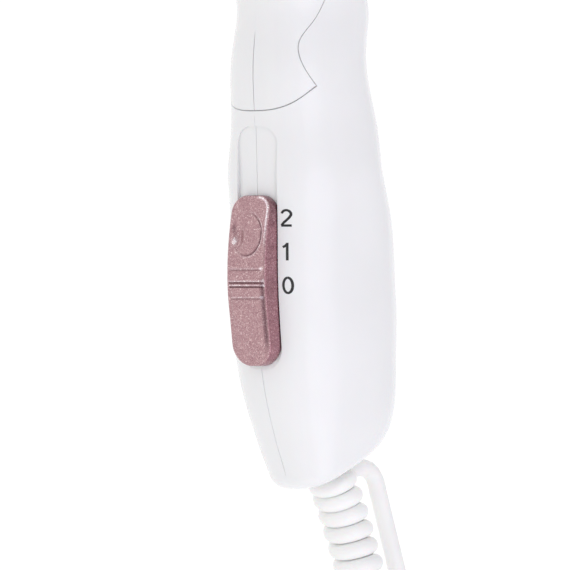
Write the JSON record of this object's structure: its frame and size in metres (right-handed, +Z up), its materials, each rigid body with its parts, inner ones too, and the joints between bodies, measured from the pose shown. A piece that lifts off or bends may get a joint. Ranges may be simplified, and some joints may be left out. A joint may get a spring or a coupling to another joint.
{
  "type": "hair dryer",
  "caption": "Folding hair dryer: handle with a slide switch, hinged barrel with fan, heater and concentrator nozzle, curly cord with two-pin plug.",
  "frame": {"origin": "middle of the bounding box's base, without the cord, with the dryer lying on its left side on a table", "axes": "+X towards the nozzle, handle towards -Y, +Z up from the table"},
  "size_m": [0.1588, 0.4583, 0.064],
  "materials": {
    "shell_white": "glossy injection-moulded ABS",
    "accent_mauve": "metallic mauve paint with fine flakes",
    "black_plastic": "moulded nylon",
    "grille_grey": "heat-resistant PBT",
    "screw_steel": "zinc-plated steel",
    "motor_steel": "drawn steel",
    "pin_metal": "nickel-plated brass",
    "brass": "stamped brass",
    "nichrome": "oxidised resistance wire",
    "mica": "mica sheet",
    "circuit_board": "solder-masked board",
    "lead_insulation": "silicone sleeve",
    "cord_white": "satin white PVC",
    "plug_white": "moulded PVC",
    "tie_fabric": "hook-and-loop tape"
  },
  "bodies": {
    "handle": {"handle_shell_left": "shell_white", "handle_shell_right": "shell_white", "handle_screws": "screw_steel", "hinge_pin": "screw_steel", "friction_washers": "screw_steel", "switch_block": "black_plastic", "switch_terminals": "brass", "strain_relief": "cord_white", "cord_clamp": "black_plastic", "clamp_screws": "screw_steel", "handle_leads": "lead_insulation", "cord_start": "cord_white", "cord_coil": "cord_white", "cord_lead": "cord_white", "plug_body": "plug_white", "plug_pins": "pin_metal", "cord_tie": "tie_fabric"},
    "barrel": {"barrel_shell_left": "shell_white", "barrel_shell_right": "shell_white", "barrel_screws": "screw_steel", "rear_ring": "accent_mauve", "fan_motor": "motor_steel", "stator_mount": "black_plastic", "rectifier_board": "circuit_board", "heat_shield": "mica", "mica_frame": "mica", "heating_coil": "nichrome", "thermostat": "brass", "thermal_fuse": "motor_steel", "barrel_leads": "lead_insulation", "outlet_grille": "grille_grey"},
    "switch": {"switch_slider": "accent_mauve", "switch_carriage": "black_plastic", "switch_contact": "brass"},
    "fan": {"fan": "black_plastic", "motor_shaft": "screw_steel"},
    "rear_cover": {"rear_cover": "grille_grey", "filter_mesh": "motor_steel"},
    "nozzle": {"concentrator_nozzle": "shell_white"}
  },
  "joints": [
    {"name": "barrel_fold", "type": "hinge", "parent": "handle", "child": "barrel", "pos_m": [-0.0176, 0.02486, 0.02705], "axis": [0, 0.0854, -0.9963], "range_deg": [0, 84]},
    {"name": "switch_slide", "type": "slide", "parent": "handle", "child": "switch", "axis": [-0.0366, 0.9957, 0.0854], "range_m": [0, 0.0188]},
    {"name": "fan_spin", "type": "hinge", "parent": "barrel", "child": "fan", "pos_m": [-0.0576, 0.08265, 0.032], "axis": [1, 0, 0], "continuous": true},
    {"name": "cover_twist", "type": "hinge", "parent": "barrel", "child": "rear_cover", "pos_m": [-0.0766, 0.08265, 0.032], "axis": [1, 0, 0], "range_deg": [0, 20]},
    {"name": "nozzle_turn", "type": "hinge", "parent": "barrel", "child": "nozzle", "pos_m": [0.0414, 0.08265, 0.032], "axis": [1, 0, 0], "range_deg": [-90, 90]}
  ]
}
